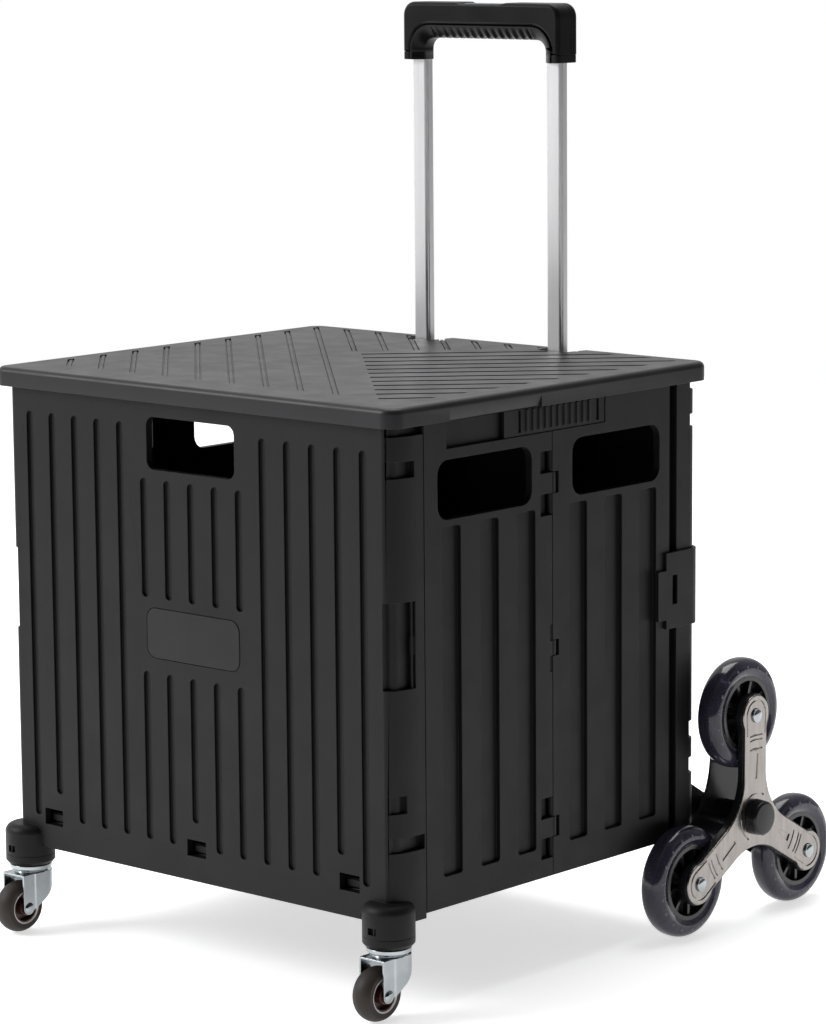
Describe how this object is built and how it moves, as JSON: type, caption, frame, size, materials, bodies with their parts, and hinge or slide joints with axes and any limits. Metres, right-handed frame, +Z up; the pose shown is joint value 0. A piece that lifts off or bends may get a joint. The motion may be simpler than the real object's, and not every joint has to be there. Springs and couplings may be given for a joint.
{
  "type": "stair climbing trolley",
  "caption": "Folding crate cart with lid, telescopic pull handle, swivel front casters and rear tri-wheel clusters that climb stairs.",
  "frame": {"origin": "on the floor, in the middle of the footprint", "axes": "+Z up, -Y towards the front casters, +Y towards the handle and the stair wheels, +X to the right as seen from the front"},
  "size_m": [0.5424, 0.585, 0.794],
  "materials": {
    "body_plastic": "fine matt moulded polypropylene, black",
    "lid_plastic": "satin moulded polypropylene, black",
    "grip_plastic": "semi-gloss ABS, black",
    "button_plastic": "satin ABS, dark grey",
    "plate_plastic": "satin ABS, black",
    "aluminium_tube": "satin anodised aluminium",
    "zinc_steel": "bright zinc plated steel",
    "nickel_plate": "satin nickel plated steel",
    "black_steel": "gloss black powder coat",
    "caster_tyre": "grey-brown thermoplastic rubber",
    "caster_hub": "dark red polypropylene with pale rim",
    "stair_tyre": "translucent smoky violet polyurethane",
    "stair_core": "gloss black nylon"
  },
  "bodies": {
    "crate": {"front_panel": "body_plastic", "back_panel": "body_plastic", "side_right_front": "body_plastic", "side_right_rear": "body_plastic", "side_left_front": "body_plastic", "side_left_rear": "body_plastic", "front_hinge_pins": "zinc_steel", "mid_hinge_pins": "zinc_steel", "rear_hinge_pins": "zinc_steel", "label_plate": "plate_plastic", "floor_hinge_pins": "zinc_steel", "latch_pins": "body_plastic", "handle_sleeves": "aluminium_tube", "sleeve_collars": "body_plastic", "axle_brackets": "black_steel", "main_axle": "zinc_steel", "axle_spacers": "black_steel", "axle_clips": "zinc_steel", "caster_collars": "body_plastic"},
    "floor": {"floor_panel": "body_plastic"},
    "lid": {"lid": "lid_plastic"},
    "handle_lower": {"handle_lower_tubes": "aluminium_tube"},
    "handle_upper": {"handle_upper_tubes": "aluminium_tube", "handle_grip": "grip_plastic", "grip_base": "grip_plastic"},
    "button": {"grip_button": "button_plastic"},
    "lock_right": {"lock_slider_right": "body_plastic"},
    "latch_right": {"latch_right": "body_plastic"},
    "caster_right": {"caster_fork_right": "zinc_steel", "caster_axle_right": "zinc_steel"},
    "caster_wheel_right": {"caster_tyre_right": "caster_tyre", "caster_hub_right": "caster_hub"},
    "cluster_right": {"cluster_plate_right": "nickel_plate", "cluster_back_right": "black_steel", "cluster_pins_right": "zinc_steel", "cluster_cap_right": "grip_plastic"},
    "wheel_right_top": {"tyre_right_top": "stair_tyre", "core_right_top": "stair_core"},
    "wheel_right_front": {"tyre_right_front": "stair_tyre", "core_right_front": "stair_core"},
    "wheel_right_rear": {"tyre_right_rear": "stair_tyre", "core_right_rear": "stair_core"},
    "lock_left": {"lock_slider_left": "body_plastic"},
    "latch_left": {"latch_left": "body_plastic"},
    "caster_left": {"caster_fork_left": "zinc_steel", "caster_axle_left": "zinc_steel"},
    "caster_wheel_left": {"caster_tyre_left": "caster_tyre", "caster_hub_left": "caster_hub"},
    "cluster_left": {"cluster_plate_left": "nickel_plate", "cluster_back_left": "black_steel", "cluster_pins_left": "zinc_steel", "cluster_cap_left": "grip_plastic"},
    "wheel_left_top": {"tyre_left_top": "stair_tyre", "core_left_top": "stair_core"},
    "wheel_left_front": {"tyre_left_front": "stair_tyre", "core_left_front": "stair_core"},
    "wheel_left_rear": {"tyre_left_rear": "stair_tyre", "core_left_rear": "stair_core"}
  },
  "joints": [
    {"name": "floor_lift", "type": "hinge", "parent": "crate", "child": "floor", "pos_m": [0, 0.09803, 0.103], "axis": [-1, 0, 0], "range_deg": [0, 90]},
    {"name": "lid_lift", "type": "slide", "parent": "crate", "child": "lid", "axis": [0, 0, 1], "range_m": [0, 0.15]},
    {"name": "handle_lower_slide", "type": "slide", "parent": "crate", "child": "handle_lower", "axis": [0, 0, 1], "range_m": [0, 0.22]},
    {"name": "handle_upper_slide", "type": "slide", "parent": "handle_lower", "child": "handle_upper", "axis": [0, 0, 1], "range_m": [-0.245, 0]},
    {"name": "button_press", "type": "slide", "parent": "handle_upper", "child": "button", "axis": [0, 0, -1], "range_m": [0, 0.004], "stiffness_N_per_m": 600, "springref_m": -0.001},
    {"name": "lock_slide_right", "type": "slide", "parent": "crate", "child": "lock_right", "axis": [0, -1, 0], "range_m": [0, 0.07]},
    {"name": "latch_turn_right", "type": "hinge", "parent": "crate", "child": "latch_right", "pos_m": [0.207, 0.13513, 0.3], "axis": [0, 0, 1], "range_deg": [0, 100]},
    {"name": "caster_swivel_right", "type": "hinge", "parent": "crate", "child": "caster_right", "pos_m": [0.21, -0.25497, 0.06], "axis": [0, 0, 1], "continuous": true},
    {"name": "caster_roll_right", "type": "hinge", "parent": "caster_right", "child": "caster_wheel_right", "pos_m": [0.21, -0.26997, 0.0225], "axis": [1, 0, 0], "continuous": true},
    {"name": "cluster_spin_right", "type": "hinge", "parent": "crate", "child": "cluster_right", "pos_m": [0.24, 0.16603, 0.0935], "axis": [1, 0, 0], "continuous": true},
    {"name": "wheel_spin_right_top", "type": "hinge", "parent": "cluster_right", "child": "wheel_right_top", "pos_m": [0.24, 0.16603, 0.1835], "axis": [1, 0, 0], "continuous": true},
    {"name": "wheel_spin_right_front", "type": "hinge", "parent": "cluster_right", "child": "wheel_right_front", "pos_m": [0.24, 0.08809, 0.0485], "axis": [1, 0, 0], "continuous": true},
    {"name": "wheel_spin_right_rear", "type": "hinge", "parent": "cluster_right", "child": "wheel_right_rear", "pos_m": [0.24, 0.24397, 0.0485], "axis": [1, 0, 0], "continuous": true},
    {"name": "lock_slide_left", "type": "slide", "parent": "crate", "child": "lock_left", "axis": [0, -1, 0], "range_m": [0, 0.07]},
    {"name": "latch_turn_left", "type": "hinge", "parent": "crate", "child": "latch_left", "pos_m": [-0.207, 0.13513, 0.3], "axis": [0, 0, -1], "range_deg": [0, 100]},
    {"name": "caster_swivel_left", "type": "hinge", "parent": "crate", "child": "caster_left", "pos_m": [-0.21, -0.25497, 0.06], "axis": [0, 0, 1], "continuous": true},
    {"name": "caster_roll_left", "type": "hinge", "parent": "caster_left", "child": "caster_wheel_left", "pos_m": [-0.21, -0.26997, 0.0225], "axis": [1, 0, 0], "continuous": true},
    {"name": "cluster_spin_left", "type": "hinge", "parent": "crate", "child": "cluster_left", "pos_m": [-0.24, 0.16603, 0.0935], "axis": [1, 0, 0], "continuous": true},
    {"name": "wheel_spin_left_top", "type": "hinge", "parent": "cluster_left", "child": "wheel_left_top", "pos_m": [-0.24, 0.16603, 0.1835], "axis": [1, 0, 0], "continuous": true},
    {"name": "wheel_spin_left_front", "type": "hinge", "parent": "cluster_left", "child": "wheel_left_front", "pos_m": [-0.24, 0.08809, 0.0485], "axis": [1, 0, 0], "continuous": true},
    {"name": "wheel_spin_left_rear", "type": "hinge", "parent": "cluster_left", "child": "wheel_left_rear", "pos_m": [-0.24, 0.24397, 0.0485], "axis": [1, 0, 0], "continuous": true}
  ]
}
